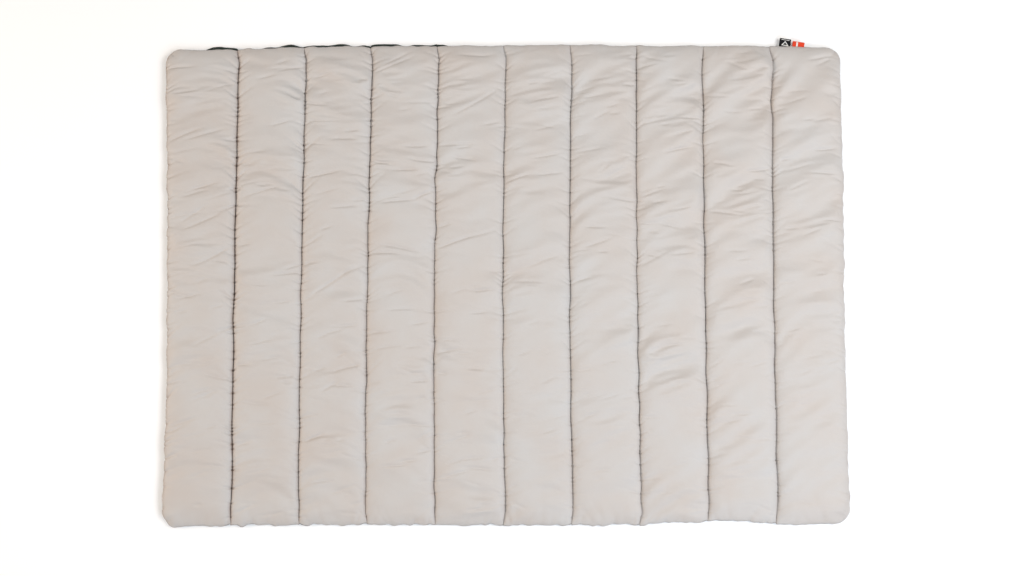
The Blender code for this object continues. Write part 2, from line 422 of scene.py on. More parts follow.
def wander(pattern):
    """Where two channels lean on each other, their line leaves the straight row of stitches: a
    parabola through its lean near the front end, in the middle and near the rear end, and a
    finer wander. Gives how far in x at the left and the right seam of each channel, as
    (channel, row, 1)."""
    y = pattern.y[0, :, pattern.y.shape[2] // 2]
    share = y / (0.9 * HALF_WIDTH)
    lines = []
    for seam, (front, middle, rear) in enumerate(SEAM_LEAN):
        bow = middle + (rear - front) / 2 * share + ((front + rear) / 2 - middle) * share**2
        lines.append(bow + 0.0010 * waves(y, 0 * y, 0.30, 0.06, 0, 9, 40 + seam))
    lines = np.stack(lines) * ramp(pattern.from_end[0, :, 0], 0.04)
    lines[[0, -1]] = 0
    return lines[:-1, :, None], lines[1:, :, None]


def seam_grip():
    """How hard each seam is drawn in, from 0 to 1: hardest at the left end of the quilt."""
    places = np.array([-1.0, -0.79, -0.59, -0.40, -0.20, 0.0, 0.20, 0.59, 1.0]) * HALF_LENGTH
    return np.interp(seam_lines, places, [1.0, 1.0, 0.62, 0.60, 0.50, 0.15, 0.25, 0.30, 0.40])


LEAN_HEIGHT = 0.008
OUTSIDE_ROOM = 0.025


def face_cloth(pattern):
    """Everything that shapes the face cloth on this pattern: the shape that the fibre gives it,
    its threads, how firmly the fibre holds it, the room it has, and the ripples it starts
    with."""
    sideways, height = section(pattern.share, FACE_ROUNDNESS)
    x, y = pattern.placed(sideways)
    full = 1 + 0.035 * waves(x, y, 0.6, 0.15, 3.1, 14, 5)
    crown_rise = CROWN_Z - FOLD_ROOM - SEAM_Z
    rise = crown_rise * height * end_slope(pattern, FACE_END_REACH, 2.0) * full
    left_wander, right_wander = wander(pattern)
    leaning = left_wander * (1 - sideways) / 2 + right_wander * (1 + sideways) / 2
    leaning = leaning * ramp(rise, LEAN_HEIGHT)
    shape = np.stack([x + leaning, y, SEAM_Z + rise]).astype(np.float32)
    sewn_edges(shape, pattern)
    left_end = ramp(-0.50 - x, 0.3)
    left_rear = ramp(-0.1 - x, 0.2) * ramp(y + 0.05, 0.2)
    right_rear = ramp(x - 0.30, 0.25) * ramp(y + 0.1, 0.4)
    gathered = 0.50 + 0.50 * np.maximum(left_end, 0.8 * left_rear)
    toward_rear = ramp(y - 0.15, 0.35)
    arch = waves(x, y, 0.9, 0.35, 3.1, 8, 31)
    arch = (0.55 + 0.45 * arch) * FOLD_ARCH * (1 - np.abs(sideways) ** 2)
    slant = FOLD_SLANT * np.clip((x + 0.1) / 0.5, -0.2, 1) * sideways * HALF_PITCH
    bent_y = y - arch - slant
    busy = np.clip(0.55 + 0.6 * waves(x, y, 0.45, 0.12, 3.1, 12, 8), 0.05, 1.6)
    busy = busy * (1 + 0.6 * toward_rear)
    inside = ramp(pattern.from_seam, 0.035) * ramp(pattern.from_end, 0.04)
    folds = waves(bent_y, x, 0.200, 0.055, 0.45, 60, 9)
    spots = draw_puckers(311, PUCKER_SPACING, PUCKER_LEAN, PUCKER_REACH)
    puckers = pucker_field(x, y, spots, PUCKER_WIDTH)
    puckers = puckers * gathered * ramp(pattern.from_end, 0.02)
    relief = FOLD_HEIGHT * folds * (0.4 + 0.6 * busy) * inside
    relief = relief - PUCKER_DEPTH * puckers * ramp(pattern.from_seam, 0.012)
    creases = crease_field(x, y, draw_creases(17, CREASE_COUNT), CREASE_WIDTH)
    relief = relief - CREASE_DEPTH * creases * inside
    drawn = waves((y - 0.75 * x) / 1.25, x, 0.200, 0.080, 0.25, 20, 12)
    relief = relief + DRAWN_FOLD_HEIGHT * drawn * right_rear * inside
    spots = draw_gathers(401, 1, REAR_GATHER_SPACING, 0.7)
    spots = spots + draw_gathers(402, -1, FRONT_GATHER_SPACING, 1.0)
    gathers = gather_field(x, y, spots, GATHER_WIDTH)
    gathers = gathers * ramp(pattern.from_end, 0.006) * ramp(pattern.from_seam, 0.02)
    relief = relief - GATHER_DEPTH * gathers
    shape = (shape + relief * outward(shape) * pattern.weight).astype(np.float32)
    spare = 0.0060 * busy * (0.5 + 0.5 * gathered) + 0.06 * np.clip(puckers, 0, 1)
    tight = np.ones(pattern.x.shape)
    batches = link_batches(pattern, shape, tight, 1 + spare, SHEAR_STIFFNESS)
    hold = (0.0008 + 0.012 * np.abs(pattern.u) ** 10).astype(np.float32)
    left_line = seam_lines[:-1, None, None]
    right_line = seam_lines[1:, None, None]
    gap = 0.0001 + 0.0009 * seam_grip()
    outer = np.zeros((CHANNELS, 1, 1))
    outer[0] = OUTSIDE_ROOM

    def bound(points):
        lift = ramp(points[2] - SEAM_Z, LEAN_HEIGHT)
        left = left_line + (left_wander + gap[:-1, None, None]) * lift - outer
        right = right_line + (right_wander - gap[1:, None, None]) * lift + outer[::-1]
        room = np.clip(points[0], left, right)
        points[0] = np.where(pattern.weight > 0, room, points[0])
        points[2] -= 0.3 * np.clip(points[2] - CROWN_Z, 0, None) * pattern.weight

    fine_waves = waves(bent_y, x, 0.060, 0.024, 0.45, 60, 10)
    ripple = RIPPLE_HEIGHT * fine_waves * busy * (1 + 0.4 * left_rear) * inside
    return shape, batches, hold, bound, ripple


coarse = Pattern(48, 280)
fine = Pattern(48, 560)
shape, batches, hold, bound, ripple = face_cloth(coarse)
face = (shape + ripple * outward(shape) * coarse.weight).astype(np.float32)
face = settle(face, shape, coarse.weight, batches, hold, bound, 70, 3, (0.001, 0.01))
coarse_shape = shape
shape, batches, hold, bound, ripple = face_cloth(fine)
face = shape + refine(face - coarse_shape, fine)
sewn = fine.weight == 0
face[:, sewn] = shape[:, sewn]
face = settle(face, shape, fine.weight, batches, hold, bound, 50, 3, (0.002, 0.01))
face[1] += MIDDLE_Y


def grid_quads(index):
    """The quads between the points of a grid whose numbers are index, as (n, 4)."""
    quads = np.stack([index[:-1, :-1], index[:-1, 1:], index[1:, 1:], index[1:, :-1]], -1)
    return quads.reshape(-1, 4)


def grid_mesh(name, points, uv, outside_up=True):
    """A smooth mesh of quads over a grid of points (3, rows, columns), whose UV map holds the
    cut cloth's own measures in metres. outside_up turns the faces along rows cross columns."""
    rows, columns = points.shape[1:]
    quads = grid_quads(np.arange(rows * columns).reshape(rows, columns))
    if not outside_up:
        quads = quads[:, ::-1]
    mesh = bpy.data.meshes.new(name)
    mesh.vertices.add(rows * columns)
    mesh.vertices.foreach_set("co", points.reshape(3, -1).T.astype(np.float32).ravel())
    mesh.loops.add(quads.size)
    mesh.loops.foreach_set("vertex_index", quads.ravel().astype(np.int32))
    mesh.polygons.add(len(quads))
    mesh.polygons.foreach_set("loop_start", np.arange(0, quads.size, 4, dtype=np.int32))
    mesh.update(calc_edges=True)
    mesh.polygons.foreach_set("use_smooth", np.ones(len(quads), bool))
    layer = mesh.uv_layers.new(name="cut")
    layer.data.foreach_set("uv", uv.reshape(2, -1).T[quads.ravel()].astype(np.float32).ravel())
    piece = bpy.data.objects.new(name, mesh)
    bpy.context.scene.collection.objects.link(piece)
    return piece


def add_thickness(piece, thickness, offset=-1):
    """Gives a cloth its thickness: inwards from the side that shows, or to both at offset 0."""
    thicken = piece.modifiers.new("thickness", "SOLIDIFY")
    thicken.thickness = thickness
    thicken.offset = offset


def add_node(nodes, kind, values=()):
    """A new shader node of this kind, with the values set on its inputs by their names."""
    node = nodes.new(f"ShaderNode{kind}")
    for socket, value in dict(values).items():
        node.inputs[socket].default_value = value
    return node


def colour_mix(nodes, first=None, second=None):
    """A new node that mixes two colours, either of which may be a constant."""
    node = nodes.new("ShaderNodeMix")
    node.data_type = "RGBA"
    for socket, colour in (("A", first), ("B", second)):
        if colour:
            node.inputs[socket].default_value = (*colour, 1)
    return node


def plain_weave_group():
    """A plain weave over the cut cloth: warp and weft as two rounded waves that go over and
    under each other in a chequer, with slubs where a thread is thicker. Puts out the height
    and a painted shade that is darker between the threads."""
    group = bpy.data.node_groups.new("plain_weave", "ShaderNodeTree")
    socket = group.interface.new_socket
    socket("Cut", in_out="INPUT", socket_type="NodeSocketVector")
    socket("Threads", in_out="INPUT", socket_type="NodeSocketFloat")
    socket("Height", in_out="OUTPUT", socket_type="NodeSocketFloat")
    socket("Shade", in_out="OUTPUT", socket_type="NodeSocketFloat")
    nodes, link = group.nodes, group.links.new
    source = nodes.new("NodeGroupInput")
    result = nodes.new("NodeGroupOutput")
    scaled = nodes.new("ShaderNodeVectorMath")
    scaled.operation = "SCALE"
    link(source.outputs["Cut"], scaled.inputs[0])
    link(source.outputs["Threads"], scaled.inputs["Scale"])
    split = nodes.new("ShaderNodeSeparateXYZ")
    link(scaled.outputs["Vector"], split.inputs[0])

    def math_node(operation, first, second):
        node = nodes.new("ShaderNodeMath")
        node.operation = operation
        for place, value in enumerate((first, second)):
            if isinstance(value, (int, float)):
                node.inputs[place].default_value = value
            elif value is not None:
                link(value, node.inputs[place])
        return node.outputs[0]

    warp = math_node("SINE", math_node("MULTIPLY", split.outputs["X"], math.pi), None)
    weft = math_node("SINE", math_node("MULTIPLY", split.outputs["Y"], math.pi), None)
    over = math_node("MULTIPLY", warp, weft)
    slub = add_node(nodes, "TexNoise", {"Scale": 0.12, "Detail": 3})
    link(scaled.outputs["Vector"], slub.inputs["Vector"])
    uneven = math_node("MULTIPLY", math_node("SUBTRACT", slub.outputs["Fac"], 0.5), 1.2)
    link(math_node("ADD", over, uneven), result.inputs["Height"])
    shade = math_node("MULTIPLY", math_node("ADD", over, 1), 0.5)
    link(shade, result.inputs["Shade"])
    return group


def mottle_group():
    """Soft uneven patches: two sizes of noise over the object, put out as a mask from 0 to 1
    around a half."""
    group = bpy.data.node_groups.new("mottle", "ShaderNodeTree")
    socket = group.interface.new_socket
    socket("Place", in_out="INPUT", socket_type="NodeSocketVector")
    socket("Scale", in_out="INPUT", socket_type="NodeSocketFloat")
    socket("Mask", in_out="OUTPUT", socket_type="NodeSocketFloat")
    nodes, link = group.nodes, group.links.new
    source = nodes.new("NodeGroupInput")
    result = nodes.new("NodeGroupOutput")
    noise = add_node(nodes, "TexNoise", {"Detail": 4, "Roughness": 0.55})
    link(source.outputs["Place"], noise.inputs["Vector"])
    link(source.outputs["Scale"], noise.inputs["Scale"])
    spread = add_node(nodes, "MapRange", {"From Min": 0.32, "From Max": 0.68})
    link(noise.outputs["Fac"], spread.inputs["Value"])
    link(spread.outputs["Result"], result.inputs["Mask"])
    return group


def start_material(name):
    """A new node material: itself, its nodes, the function that links them and its shader."""
    material = bpy.data.materials.new(name)
    material.use_nodes = True
    nodes = material.node_tree.nodes
    return material, nodes, material.node_tree.links.new, nodes["Principled BSDF"]


def woven_material(name, tones, groove_shade, roughness, threads, depth):
    """A woven cloth: a mottled colour that turns to groove_shade, a painted shade, in the grooves
    beside the seams, and the weave's relief, from the cut's own measures."""
    material, nodes, link, shader = start_material(name)
    cut = nodes.new("ShaderNodeUVMap")
    cut.uv_map = "cut"
    weave = nodes.new("ShaderNodeGroup")
    weave.node_tree = weave_nodes
    weave.inputs["Threads"].default_value = threads
    link(cut.outputs["UV"], weave.inputs["Cut"])
    place = nodes.new("ShaderNodeTexCoord")
    mottle = nodes.new("ShaderNodeGroup")
    mottle.node_tree = mottle_nodes
    mottle.inputs["Scale"].default_value = 7
    link(place.outputs["Object"], mottle.inputs["Place"])
    tone = colour_mix(nodes, *tones)
    link(mottle.outputs["Mask"], tone.inputs["Factor"])
    # Painted shade: the colour turns to groove_shade where the groove beside a seam lies in shade.
    seam = nodes.new("ShaderNodeAttribute")
    seam.attribute_name = "beside_seam"
    shaded = colour_mix(nodes, second=groove_shade)
    link(tone.outputs["Result"], shaded.inputs["A"])
    link(seam.outputs["Fac"], shaded.inputs["Factor"])
    # Painted shade: the weave's Shade output darkens the colour between the threads.
    weave_shade = colour_mix(nodes)
    weave_shade.blend_type = "MULTIPLY"
    weave_shade.inputs["Factor"].default_value = 0.10
    link(shaded.outputs["Result"], weave_shade.inputs["A"])
    link(weave.outputs["Shade"], weave_shade.inputs["B"])
    link(weave_shade.outputs["Result"], shader.inputs["Base Color"])
    sheen = add_node(nodes, "MapRange", {"To Min": roughness - 0.05, "To Max": roughness + 0.06})
    link(mottle.outputs["Mask"], sheen.inputs["Value"])
    link(sheen.outputs["Result"], shader.inputs["Roughness"])
    relief = add_node(nodes, "Bump", {"Strength": 0.35, "Distance": depth})
    link(weave.outputs["Height"], relief.inputs["Height"])
    link(relief.outputs["Normal"], shader.inputs["Normal"])
    return material


weave_nodes = plain_weave_group()
mottle_nodes = mottle_group()
FACE_TONES = ((0.535, 0.484, 0.446), (0.548, 0.522, 0.500))
# Painted shade, a warm brown, laid into the deep grooves along the seams of the face cloth.
FACE_GROOVE_SHADE = (0.30, 0.22, 0.18)
face_material = woven_material("beige_taffeta", FACE_TONES, FACE_GROOVE_SHADE, 0.48, 1800, 0.00012)
face_shader = face_material.node_tree.nodes["Principled BSDF"]
face_shader.inputs["Sheen Weight"].default_value = 0.15
face_shader.inputs["Sheen Roughness"].default_value = 0.4
face_shader.inputs["Specular IOR Level"].default_value = 0.4


def mark_groove_shade(piece, pattern, channel, reach):
    """Writes the mask of the painted shade in the groove beside the seam: how close each point is
    to its seam, 1 at the stitches and fading over reach. It is less where the seam is drawn in
    less, and uneven along it."""
    close = np.exp(-((pattern.from_seam[channel] / reach) ** 2))
    grip = np.where(pattern.u[channel] < 0, seam_grip()[channel], seam_grip()[channel + 1])
    swing = np.where(grip > 0.45, 0.35, 0.80)
    uneven = 1 + swing * waves(pattern.y[channel], 0, 0.12, 0.03, 0, 12, 90 + channel)
    close = np.clip(close * (0.02 + 0.98 * grip**1.5) * uneven, 0, 1).astype(np.float32)
    values = piece.data.attributes.new("beside_seam", "FLOAT", "POINT")
    values.data.foreach_set("value", close.ravel())


for channel in range(CHANNELS):
    number = f"{channel + 1:02d}"
    cut = np.stack([fine.x[channel], fine.y[channel]])
    piece = grid_mesh(f"face_cloth_{number}", face[:, channel], cut)
    mark_groove_shade(piece, fine, channel, 0.0105)
    piece.data.materials.append(face_material)
    add_thickness(piece, FACE_THICKNESS)
    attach(piece, f"channel_{number}")
    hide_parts(f"face_panel_{number}")

# --- Back cloth ----------------------------------------------------------------------------
# A very dark green plain weave, closed to the face all round and caught by the same rows of
# stitches. It lies on the ground, and towards the left it rolls out past the rear edge.

BACK_THICKNESS = 0.00035
BACK_ROUNDNESS = 4.5
BACK_END_REACH = 0.030
GROUND_GAP = 0.0004
ROLL = 0.0135


def back_cloth(pattern):
    """The shape, threads, hold, room and first ripples of the back cloth on this pattern."""
    sideways, height = section(pattern.share, BACK_ROUNDNESS)
    x, y = pattern.placed(sideways)
    fall = (SEAM_Z - GROUND_GAP) * height * end_slope(pattern, BACK_END_REACH, 2.2)
    shape = np.stack([x, y, SEAM_Z - fall]).astype(np.float32)
    sewn_edges(shape, pattern)
    lumps = np.clip(1.0 + 0.25 * waves(pattern.x, 0 * pattern.x, 0.16, 0.05, 0, 8, 55), 0.6, 1.4)
    left_part = ramp(-0.13 - pattern.x, 0.04) * ramp(pattern.x + 0.92, 0.04)
    left_part = left_part * (1 - 0.75 * np.exp(-(((pattern.x + 0.745) / 0.035) ** 2)))
    short = pattern.from_end
    out = (1 - np.exp(-short / 0.0030)) * np.exp(-((short / 0.025) ** 2))
    shape[1] += ROLL * lumps * left_part * out * (pattern.y > 0)
    creases = waves(pattern.y, pattern.x, 0.080, 0.025, 0.5, 50, 61)
    busy = np.clip(0.5 + 0.5 * waves(pattern.x, pattern.y, 0.4, 0.12, 3.1, 12, 62), 0.0, 1.5)
    puckers = pucker_field(x, y, draw_puckers(313, 0.050, 0.1, 0.020), 0.0052)
    puckers = puckers * ramp(pattern.from_end, 0.02)
    spare = 0.004 * busy + 0.08 * np.clip(puckers, 0, 1)
    tight = np.ones(pattern.x.shape)
    batches = link_batches(pattern, shape, tight, 1 + spare, SHEAR_STIFFNESS)
    hold = np.full(pattern.x.shape, 0.002, np.float32)
    left_line = seam_lines[:-1, None, None] + 0.0003
    right_line = seam_lines[1:, None, None] - 0.0003
    outer = np.zeros((CHANNELS, 1, 1))
    outer[0] = OUTSIDE_ROOM

    def bound(points):
        room = np.clip(points[0], left_line - outer, right_line + outer[::-1])
        points[0] = np.where(pattern.weight > 0, room, points[0])
        points[2] = np.clip(points[2], GROUND_GAP, None)

    ripple = 0.0009 * creases * busy * ramp(pattern.from_seam, 0.02)
    ripple = ripple - 0.0025 * puckers * ramp(pattern.from_seam, 0.010)
    return shape, batches, hold, bound, ripple


shape, batches, hold, bound, ripple = back_cloth(coarse)
back = (shape + ripple * outward(shape) * coarse.weight).astype(np.float32)
back[2] = np.clip(back[2], GROUND_GAP, None)
back = settle(back, shape, coarse.weight, batches, hold, bound, 60, 3, (0.001, 0.01))
back[1] += MIDDLE_Y

BACK_TONES = ((0.012, 0.021, 0.016), (0.018, 0.029, 0.022))
# Painted shade in the grooves beside the seams of the back cloth.
BACK_GROOVE_SHADE = (0.008, 0.013, 0.010)
back_material = woven_material(
    "dark_green_weave", BACK_TONES, BACK_GROOVE_SHADE, 0.60, 1500, 0.00014
)
back_shader = back_material.node_tree.nodes["Principled BSDF"]
back_shader.inputs["Specular IOR Level"].default_value = 0.25
for channel in range(CHANNELS):
    number = f"{channel + 1:02d}"
    cut = np.stack([coarse.x[channel], coarse.y[channel]])
    piece = grid_mesh(f"back_cloth_{number}", back[:, channel], cut, outside_up=False)
    mark_groove_shade(piece, coarse, channel, 0.0030)
    piece.data.materials.append(back_material)
    add_thickness(piece, BACK_THICKNESS)
    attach(piece, f"channel_{number}")
    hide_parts(f"back_panel_{number}")

# --- Fibre filling -------------------------------------------------------------------------
# White hollow-fibre batting, one soft pad in each channel, held between the two cloths by the
# rows of stitches on either side.

FILL_INSET = 0.0015
LEAST_HALF_FILL = 0.001
PAD_ROWS = np.arange(6, 556, 4)
PAD_COLUMNS = np.arange(10, 40, 2)


def lowest_near(height, rows, columns):
    """The least value of a (row, column) array within so many rows and columns of each."""
    least = height.copy()
    for axis, reach in ((0, rows), (1, columns)):
        spread = [np.roll(least, shift, axis) for shift in range(-reach, reach + 1)]
        least = np.min(spread, axis=0)
    return least


def fibre_pad(channel):
    """The closed surface of one pad: just under the face cloth's lowest folds and just over the
    back cloth's highest, on a grid that stops short of the seams and ends, and joined round its
    rim. Gives points and quads."""
    rows, columns = PAD_ROWS, PAD_COLUMNS
    plan = face[:2, channel][np.ix_([0, 1], rows, columns)]
    top = lowest_near(face[2, channel], 4, 2)[np.ix_(rows, columns)] - FILL_INSET
    bottom = -lowest_near(-back[2, channel], 2, 2)[np.ix_(rows // 2, columns)] + FILL_INSET
    middle = (top + bottom) / 2
    over = np.concatenate([plan, np.maximum(top, middle + LEAST_HALF_FILL)[None]])
    under = np.concatenate([plan, np.minimum(bottom, middle - LEAST_HALF_FILL)[None]])
    count = over[0].size
    index = np.arange(count).reshape(over.shape[1:])
    quads = grid_quads(index)
    rim = np.concatenate([index[0, :-1], index[:-1, -1], index[-1, :0:-1], index[:0:-1, 0]])
    after = np.roll(rim, -1)
    wall = np.stack([rim + count, after + count, after, rim], -1)
    points = np.concatenate([over.reshape(3, -1), under.reshape(3, -1)], 1).T
    return points, np.concatenate([quads, quads[:, ::-1] + count, wall])


def plain_mesh(name, points, faces, material):
    """A piece with these points and faces, in its place at the origin."""
    mesh = bpy.data.meshes.new(name)
    mesh.from_pydata(points.tolist(), [], faces)
    mesh.materials.append(material)
    piece = bpy.data.objects.new(name, mesh)
    bpy.context.scene.collection.objects.link(piece)
    return piece


def fibre_material():
    """White batting: fine tangled fibres as stretched noise in the relief, with painted shade that
    greys the hollows of that relief."""
    material, nodes, link, shader = start_material("white_fibre")
    place = nodes.new("ShaderNodeTexCoord")
    tangle = add_node(nodes, "TexNoise", {"Scale": 320, "Detail": 6, "Distortion": 2.5})
    link(place.outputs["Object"], tangle.inputs["Vector"])
    # Painted shade: the same noise as the relief turns the colour grey in its hollows.
    tone = colour_mix(nodes, (0.74, 0.74, 0.72), (0.90, 0.90, 0.88))
    link(tangle.outputs["Fac"], tone.inputs["Factor"])
    link(tone.outputs["Result"], shader.inputs["Base Color"])
    shader.inputs["Roughness"].default_value = 0.95
    relief = add_node(nodes, "Bump", {"Strength": 0.8, "Distance": 0.001})
    link(tangle.outputs["Fac"], relief.inputs["Height"])
    link(relief.outputs["Normal"], shader.inputs["Normal"])
    return material


white_fibre = fibre_material()
for channel in range(CHANNELS):
    number = f"{channel + 1:02d}"
    points, quads = fibre_pad(channel)
    pad = plain_mesh(f"fibre_{number}", points, quads.tolist(), white_fibre)
    pad.data.polygons.foreach_set("use_smooth", np.ones(len(quads), bool))
    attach(pad, f"channel_{number}")
    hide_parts(f"fill_pad_{number}")

# --- Stitches ------------------------------------------------------------------------------
# Brown polyester thread in a lockstitch. Rows run through the whole quilt along each seam,
# with a stitch on the face and one on the back, and one row closes the quilt all round.

STITCH_LENGTH = 0.0032
STITCH_GAP = 0.0006
THREAD_THICKNESS = 0.0006
QUILTING_LIFT = 0.0006
CLOSING_LIFT = 0.0005


def stitch_row(name, path, lift):
    """A row of stitches along a path of points (n, 3), as one mesh. Each stitch is a round
    thread of four sides that arches from the cloth by the vector lift at its middle and dives
    into it at both ends."""
    length = np.concatenate([[0], np.cumsum(np.linalg.norm(np.diff(path, axis=0), axis=1))])
    count = max(int(length[-1] / (STITCH_LENGTH + STITCH_GAP)), 1)
    start = (np.arange(count) + 0.5) * length[-1] / count
    share = np.array([-0.5, -0.25, 0.25, 0.5])
    at = start[:, None] + share * STITCH_LENGTH
    centre = np.stack([np.interp(at, length, path[:, axis]) for axis in range(3)], -1)
    arch = np.cos(share * math.pi) ** 0.7
    centre = centre + arch[:, None] * np.array(lift)
    ahead = np.stack([np.interp(at + 0.0005, length, path[:, axis]) for axis in range(3)], -1)
    behind = np.stack([np.interp(at - 0.0005, length, path[:, axis]) for axis in range(3)], -1)
    along = ahead - behind
    along /= np.linalg.norm(along, axis=-1, keepdims=True)
    upward = np.broadcast_to(np.array(lift) / np.linalg.norm(lift), along.shape)
    aside = np.cross(along, upward)
    aside /= np.linalg.norm(aside, axis=-1, keepdims=True)
    turn = np.linspace(0, 2 * math.pi, 5)[:-1]
    radius = THREAD_THICKNESS / 2 * np.array([0.55, 1, 1, 0.55])[:, None, None]
    ring = np.cos(turn)[:, None] * aside[..., None, :]
    ring = ring + np.sin(turn)[:, None] * upward[..., None, :]
    points = centre[..., None, :] + radius * ring
    index = np.arange(points[..., 0].size).reshape(points.shape[:-1])
    near, far = index[:, :-1], index[:, 1:]
    quads = np.stack([near, np.roll(near, -1, 2), np.roll(far, -1, 2), far], -1).reshape(-1, 4)
    first, last = index[:, 0, ::-1], index[:, -1]
    faces = quads.tolist() + first.tolist() + last.tolist()
    piece = plain_mesh(name, points.reshape(-1, 3), faces, brown_thread)
    piece.data.polygons.foreach_set("use_smooth", np.ones(len(faces), bool))
    return piece


def thread_material():
    """Brown thread: the twist of its plies as fine bands of relief, with painted shade that
    darkens the grooves between the plies.
    """
    material, nodes, link, shader = start_material("brown_thread")
    place = nodes.new("ShaderNodeTexCoord")
    plies = add_node(nodes, "TexWave", {"Scale": 900, "Distortion": 1.5})
    plies.bands_direction = "DIAGONAL"
    link(place.outputs["Object"], plies.inputs["Vector"])
    # Painted shade: darker brown in the grooves of the same bands as the relief.
    tone = colour_mix(nodes, (0.20, 0.15, 0.12), (0.38, 0.30, 0.25))
    link(plies.outputs["Fac"], tone.inputs["Factor"])
    link(tone.outputs["Result"], shader.inputs["Base Color"])
    shader.inputs["Roughness"].default_value = 0.6
    relief = add_node(nodes, "Bump", {"Strength": 0.6, "Distance": 0.0001})
    link(plies.outputs["Fac"], relief.inputs["Height"])
    link(relief.outputs["Normal"], shader.inputs["Normal"])
    return material


brown_thread = thread_material()


def joined(pieces):
    """One object holding the meshes of all the pieces."""
    mesh = pieces[0].data
    whole = bmesh.new()
    for piece in pieces:
        whole.from_mesh(piece.data)
    whole.to_mesh(mesh)
    whole.free()
    for piece in pieces[1:]:
        bpy.data.objects.remove(piece)
    return pieces[0]


for seam in range(1, CHANNELS):
    number = f"{seam:02d}"
    line = face[:, seam, :, 0].T.astype(float)
    line = line[np.abs(line[:, 1] - MIDDLE_Y) < HALF_WIDTH - 0.003]
    upper = stitch_row(f"quilting_stitches_{number}", line, (0, 0, QUILTING_LIFT))
    lower = stitch_row(f"lower_{number}", line, (0, 0, -QUILTING_LIFT))
    stitches = joined([upper, lower])
    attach(stitches, f"channel_{number}")
    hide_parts(f"quilting_thread_{number}")

for channel in range(CHANNELS):
    number = f"{channel + 1:02d}"
    rear = face[:, channel, -1].T.astype(float)
    front = face[:, channel, 0].T.astype(float)
    if channel == 0:
        side = face[:, 0, :, 0].T.astype(float)
        path = np.concatenate([front[::-1], side, rear])
    elif channel == CHANNELS - 1:
        side = face[:, channel, :, -1].T.astype(float)
        path = np.concatenate([front, side, rear[::-1]])
    if channel in (0, CHANNELS - 1):
        closing = stitch_row(f"closing_stitches_{number}", path, (0, 0, CLOSING_LIFT))
        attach(closing, f"channel_{number}")
        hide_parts(f"closing_thread_{number}")
    else:
        for name, path in (("front", front), ("rear", rear)):
            closing = stitch_row(f"closing_stitches_{name}_{number}", path, (0, 0, CLOSING_LIFT))
            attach(closing, f"channel_{number}")
            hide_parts(f"closing_thread_{name}_{number}")

# --- Woven label and side tab --------------------------------------------------------------
# Two woven ribbons, folded double and caught in the rear edge near the right corner: a matt
# black one with a small tent mark, and a shorter red one with a pale band.

RIBBON_THICKNESS = 0.0005
RIBBON_FOLD = 0.0009
MARK_LIFT = 0.00042
LABEL_TURN = math.radians(-9)


def ribbon_place(node, across, along, lift):
    """Points on a ribbon folded double. across runs from 0 to 1 over its width, and along from
    -1 at the root of the lower layer through 0 at the fold to 1 at the root of the upper one.
    lift is the distance off its surface. The two layers belly apart a little, and the whole
    ribbon curls up towards its fold and is turned a little in plan about its root."""
    low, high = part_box(node)
    reach = high.y - low.y
    width = (high.x - low.x) * 0.97
    middle_x = (low.x + high.x) / 2
    out = 1 - np.abs(along)
    layer = np.tanh(along * 9)
    belly = 0.0007 * np.sin(math.pi * out) * (1 + 0.5 * np.sin(across * 5))
    height = layer * (RIBBON_FOLD / 2 + lift + belly)
    curl = 0.0035 * out**2 + 0.0012 * (across - 0.5) * out
    x = (across - 0.5) * width
    y = out * (reach - 0.001) + lift * (1 - np.abs(layer))
    turned_x = middle_x + x * math.cos(LABEL_TURN) - y * math.sin(LABEL_TURN) * 0.6
    turned_y = low.y + 0.001 + x * math.sin(LABEL_TURN) + y * math.cos(LABEL_TURN)
    return np.stack([turned_x, turned_y, SEAM_Z + height + curl])


def ribbon_material(name, tones):
    """A dull ribbon woven with close threads."""
    material = woven_material(name, tones, tones[0], 0.80, 1400, 0.0002)
    shader = material.node_tree.nodes["Principled BSDF"]
    shader.inputs["Specular IOR Level"].default_value = 0.15
    return material


def woven_ribbon(name, node, material):
    """The ribbon as one folded sheet, from root round the fold to root."""
    across = np.linspace(0, 1, 25)[None, :] + np.zeros((97, 1))
    along = np.linspace(-1, 1, 97)[:, None] + np.zeros((1, 25))
    points = ribbon_place(node, across, along, 0)
    low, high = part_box(node)
    uv = np.stack([across * (high.x - low.x), along * (high.y - low.y)])
    piece = grid_mesh(name, points, uv)
    piece.data.materials.append(material)
    add_thickness(piece, RIBBON_THICKNESS, 0)
    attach(piece, node)
    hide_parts(node)
    return piece


black_ribbon = ribbon_material("black_ribbon", ((0.005, 0.005, 0.006), (0.010, 0.010, 0.011)))
red_ribbon = ribbon_material("red_ribbon", ((0.66, 0.050, 0.018), (0.74, 0.070, 0.026)))
pale_yarn = ribbon_material("pale_yarn", ((0.72, 0.70, 0.66), (0.80, 0.78, 0.75)))
woven_ribbon("black_label", "woven_label", black_ribbon)
woven_ribbon("red_tab", "side_tab", red_ribbon)


def woven_mark(name, node, outline, hole):
    """A mark woven proud of the upper layer, as the band between two closed outlines of
    (across, along) points, with its edges turned down into the ribbon."""
    outer, inner = np.array(outline).T, np.array(hole).T
    rings = [(outer, -0.0001), (outer, MARK_LIFT), (inner, MARK_LIFT), (inner, -0.0001)]
    points = np.concatenate([ribbon_place(node, r[0], r[1], lift) for r, lift in rings], 1).T
    count = len(outline)
    index = np.arange(4 * count).reshape(4, count)
    quads = []
    for ring in range(3):
        near, far = index[ring], index[ring + 1]
        quads += np.stack([near, np.roll(near, -1), np.roll(far, -1), far], -1).tolist()
    piece = plain_mesh(name, points, quads, pale_yarn)
    layer = piece.data.uv_layers.new(name="cut")
    vertex = np.array(quads).ravel()
    layer.data.foreach_set("uv", points[vertex][:, :2].astype(np.float32).ravel())
    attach(piece, node)
    return piece


def closed_line(corners, steps):
    """Points along the sides of a polygon, steps to each side."""
    corners = np.array(corners, float)
    share = np.arange(steps)[:, None] / steps
    sides = [a + (b - a) * share for a, b in zip(corners, np.roll(corners, -1, 0))]
    return np.concatenate(sides)


